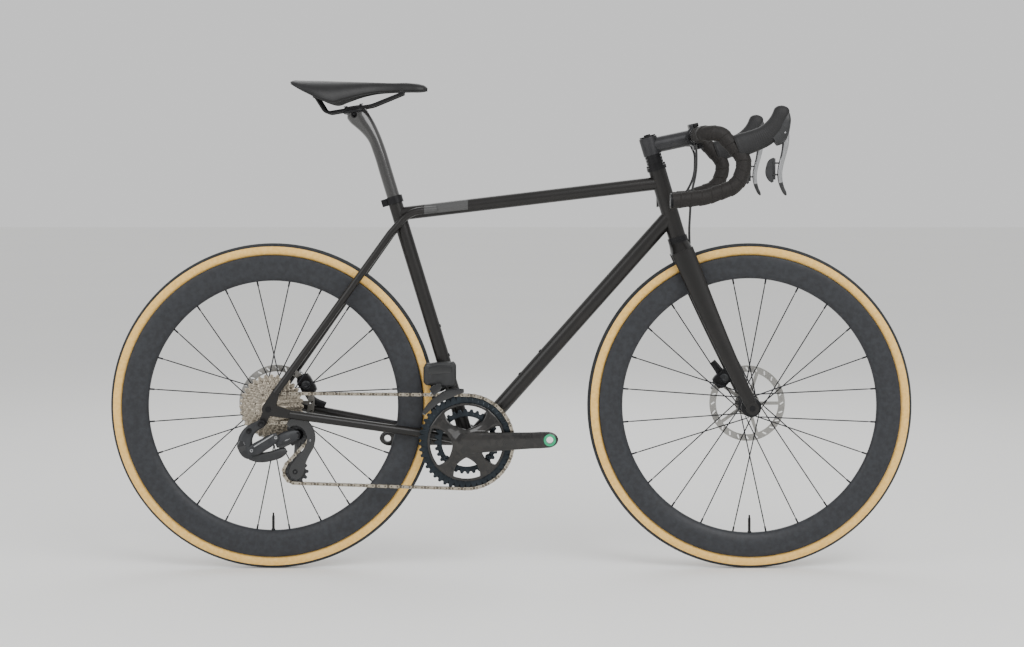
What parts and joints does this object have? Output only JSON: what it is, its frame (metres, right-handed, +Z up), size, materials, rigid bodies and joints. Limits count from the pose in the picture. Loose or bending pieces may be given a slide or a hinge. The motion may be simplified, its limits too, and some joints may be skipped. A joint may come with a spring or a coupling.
{
  "type": "road bicycle",
  "caption": "Drop-bar road bicycle with disc brakes, deep rims, tan-wall tyres and a derailleur drivetrain; wheels, cranks, steering, levers and shifting move.",
  "frame": {"origin": "on the ground, half way between the two axles, in the bicycle's middle plane", "axes": "+X forward, +Y to the rider's left, +Z up"},
  "size_m": [1.678, 0.455, 1.0209],
  "materials": {
    "frame_paint": "satin lacquer",
    "carbon": "lacquered carbon fibre",
    "rim_carbon": "matt carbon",
    "tyre_rubber": "tan sidewall, dark tread",
    "black_alloy": "black anodised",
    "spoke_steel": "black coated",
    "rotor_steel": "ground",
    "pad_backing": "sintered lining",
    "ring_alloy": "blue-black hard anodised",
    "washer_green": "green anodised",
    "plated_steel": "nickel plated",
    "derailleur_grey": "grey anodised",
    "pulley_resin": "moulded",
    "hood_rubber": "ribbed",
    "lever_alloy": "satin silver face",
    "shifter_resin": "moulded",
    "bar_tape": "wrapped cork tape",
    "hose_rubber": "smooth",
    "saddle_leather": "smooth black",
    "saddle_plastic": "moulded",
    "rail_steel": "dark coated"
  },
  "bodies": {
    "frame": {"head_tube": "frame_paint", "top_tube": "frame_paint", "down_tube": "frame_paint", "seat_tube": "frame_paint", "bottle_bosses": "black_alloy", "chain_stays": "frame_paint", "seat_stays": "frame_paint", "dropouts": "frame_paint", "rear_thru_axle": "black_alloy", "bottom_bracket_cups": "black_alloy", "headset_cups": "black_alloy", "seat_clamp": "black_alloy", "front_derailleur": "derailleur_grey", "rear_caliper": "black_alloy", "rear_brake_hose": "hose_rubber", "chain": "plated_steel"},
    "seat": {"seatpost": "carbon", "saddle_rails": "rail_steel", "saddle_shell": "saddle_plastic", "saddle_cover": "saddle_leather"},
    "steering": {"fork": "carbon", "headset_spacers": "black_alloy", "front_thru_axle": "black_alloy", "stem": "black_alloy", "stem_faceplate": "black_alloy", "handlebar": "black_alloy", "bar_tape": "bar_tape", "shifter_bodies": "shifter_resin", "hoods": "hood_rubber", "front_caliper": "black_alloy", "front_brake_hose": "hose_rubber"},
    "front_wheel": {"front_rim": "rim_carbon", "front_tyre": "tyre_rubber", "front_spokes": "spoke_steel", "front_hub": "black_alloy", "front_rotor": "rotor_steel"},
    "rear_wheel": {"rear_rim": "rim_carbon", "rear_tyre": "tyre_rubber", "rear_spokes": "spoke_steel", "rear_hub": "black_alloy", "rear_rotor": "rotor_steel"},
    "crankset": {"big_chainring": "ring_alloy", "small_chainring": "ring_alloy", "right_crank_arm": "carbon", "left_crank_arm": "carbon", "pedal_washers": "washer_green"},
    "cassette_stack": {"cassette": "plated_steel"},
    "right_lever": {"right_brake_lever": "lever_alloy"},
    "left_lever": {"left_brake_lever": "lever_alloy"},
    "right_paddle": {"right_shift_paddle": "shifter_resin"},
    "left_paddle": {"left_shift_paddle": "shifter_resin"},
    "front_pad": {"front_brake_pad": "pad_backing"},
    "rear_pad": {"rear_brake_pad": "pad_backing"},
    "front_cage": {"front_derailleur_cage": "derailleur_grey"},
    "rear_mount": {"derailleur_mount": "derailleur_grey"},
    "rear_link": {"derailleur_link": "derailleur_grey"},
    "rear_knuckle": {"derailleur_knuckle": "derailleur_grey"},
    "rear_cage": {"derailleur_cage": "derailleur_grey"},
    "guide_wheel": {"guide_pulley": "pulley_resin"},
    "tension_wheel": {"tension_pulley": "pulley_resin"}
  },
  "joints": [
    {"name": "steering_turn", "type": "hinge", "parent": "frame", "child": "steering", "pos_m": [0.32663, 0, 0.76348], "axis": [-0.284, 0, 0.9588], "range_deg": [-70, 70], "deforming": ["rear_brake_hose"]},
    {"name": "seatpost_slide", "type": "slide", "parent": "frame", "child": "seat", "axis": [-0.2924, 0, 0.9563], "range_m": [-0.06, 0.03]},
    {"name": "front_wheel_spin", "type": "hinge", "parent": "steering", "child": "front_wheel", "pos_m": [0.499, 0, 0.34], "axis": [0, 1, 0], "continuous": true},
    {"name": "rear_wheel_spin", "type": "hinge", "parent": "frame", "child": "rear_wheel", "pos_m": [-0.499, 0, 0.34], "axis": [0, 1, 0], "continuous": true},
    {"name": "crank_spin", "type": "hinge", "parent": "frame", "child": "crankset", "pos_m": [-0.09204, 0, 0.2696], "axis": [0, 1, 0], "continuous": true, "deforming": ["chain"]},
    {"name": "cassette_spin", "type": "hinge", "parent": "frame", "child": "cassette_stack", "pos_m": [-0.499, 0, 0.34], "axis": [0, 1, 0], "continuous": true},
    {"name": "right_lever_pull", "type": "hinge", "parent": "steering", "child": "right_lever", "pos_m": [0.54403, -0.21, 0.90429], "axis": [0, 1, 0], "range_deg": [0, 15], "stiffness_Nm_per_rad": 1.5},
    {"name": "left_lever_pull", "type": "hinge", "parent": "steering", "child": "left_lever", "pos_m": [0.54403, 0.21, 0.90429], "axis": [0, 1, 0], "range_deg": [0, 15], "stiffness_Nm_per_rad": 1.5},
    {"name": "right_paddle_click", "type": "hinge", "parent": "right_lever", "child": "right_paddle", "pos_m": [0.52403, -0.21, 0.83229], "axis": [0, 0, -1], "range_deg": [0, 10], "stiffness_Nm_per_rad": 0.2},
    {"name": "left_paddle_click", "type": "hinge", "parent": "left_lever", "child": "left_paddle", "pos_m": [0.52403, 0.21, 0.83229], "axis": [0, 0, 1], "range_deg": [0, 10], "stiffness_Nm_per_rad": 0.2},
    {"name": "front_pad_press", "type": "slide", "parent": "steering", "child": "front_pad", "axis": [0, -1, 0], "range_m": [0, 0.0004]},
    {"name": "rear_pad_press", "type": "slide", "parent": "frame", "child": "rear_pad", "axis": [0, -1, 0], "range_m": [0, 0.0004]},
    {"name": "front_shift", "type": "slide", "parent": "frame", "child": "front_cage", "axis": [0, 1, 0], "range_m": [0, 0.007]},
    {"name": "mount_swing", "type": "hinge", "parent": "frame", "child": "rear_mount", "pos_m": [-0.511, 0, 0.312], "axis": [0, 1, 0], "range_deg": [0, 6], "stiffness_Nm_per_rad": 8},
    {"name": "rear_shift", "type": "hinge", "parent": "rear_mount", "child": "rear_link", "pos_m": [-0.531, -0.084, 0.256], "axis": [-0.4036, 0.4983, 0.7673], "range_deg": [-11, 30], "deforming": ["chain"]},
    {"name": "knuckle_turn", "type": "hinge", "parent": "rear_link", "child": "rear_knuckle", "pos_m": [-0.47885, -0.07147, 0.27529], "axis": [-0.4036, 0.4983, 0.7673], "range_deg": [-31, 12]},
    {"name": "cage_swing", "type": "hinge", "parent": "rear_knuckle", "child": "rear_cage", "pos_m": [-0.44, 0, 0.286], "axis": [0, 1, 0], "range_deg": [-20, 35], "stiffness_Nm_per_rad": 0.6, "deforming": ["chain"]},
    {"name": "guide_spin", "type": "hinge", "parent": "rear_cage", "child": "guide_wheel", "pos_m": [-0.44, 0, 0.286], "axis": [0, 1, 0], "continuous": true},
    {"name": "tension_spin", "type": "hinge", "parent": "rear_cage", "child": "tension_wheel", "pos_m": [-0.446, 0, 0.209], "axis": [0, 1, 0], "continuous": true}
  ],
  "couplings": [
    {"joint": "cassette_spin", "follows": "crank_spin", "ratio": 3.2},
    {"joint": "guide_spin", "follows": "crank_spin", "ratio": -4},
    {"joint": "tension_spin", "follows": "crank_spin", "ratio": 4},
    {"joint": "front_pad_press", "follows": "right_lever_pull", "m_per_rad": 0.00115},
    {"joint": "rear_pad_press", "follows": "left_lever_pull", "m_per_rad": 0.00115},
    {"joint": "knuckle_turn", "follows": "rear_shift", "ratio": -1}
  ]
}
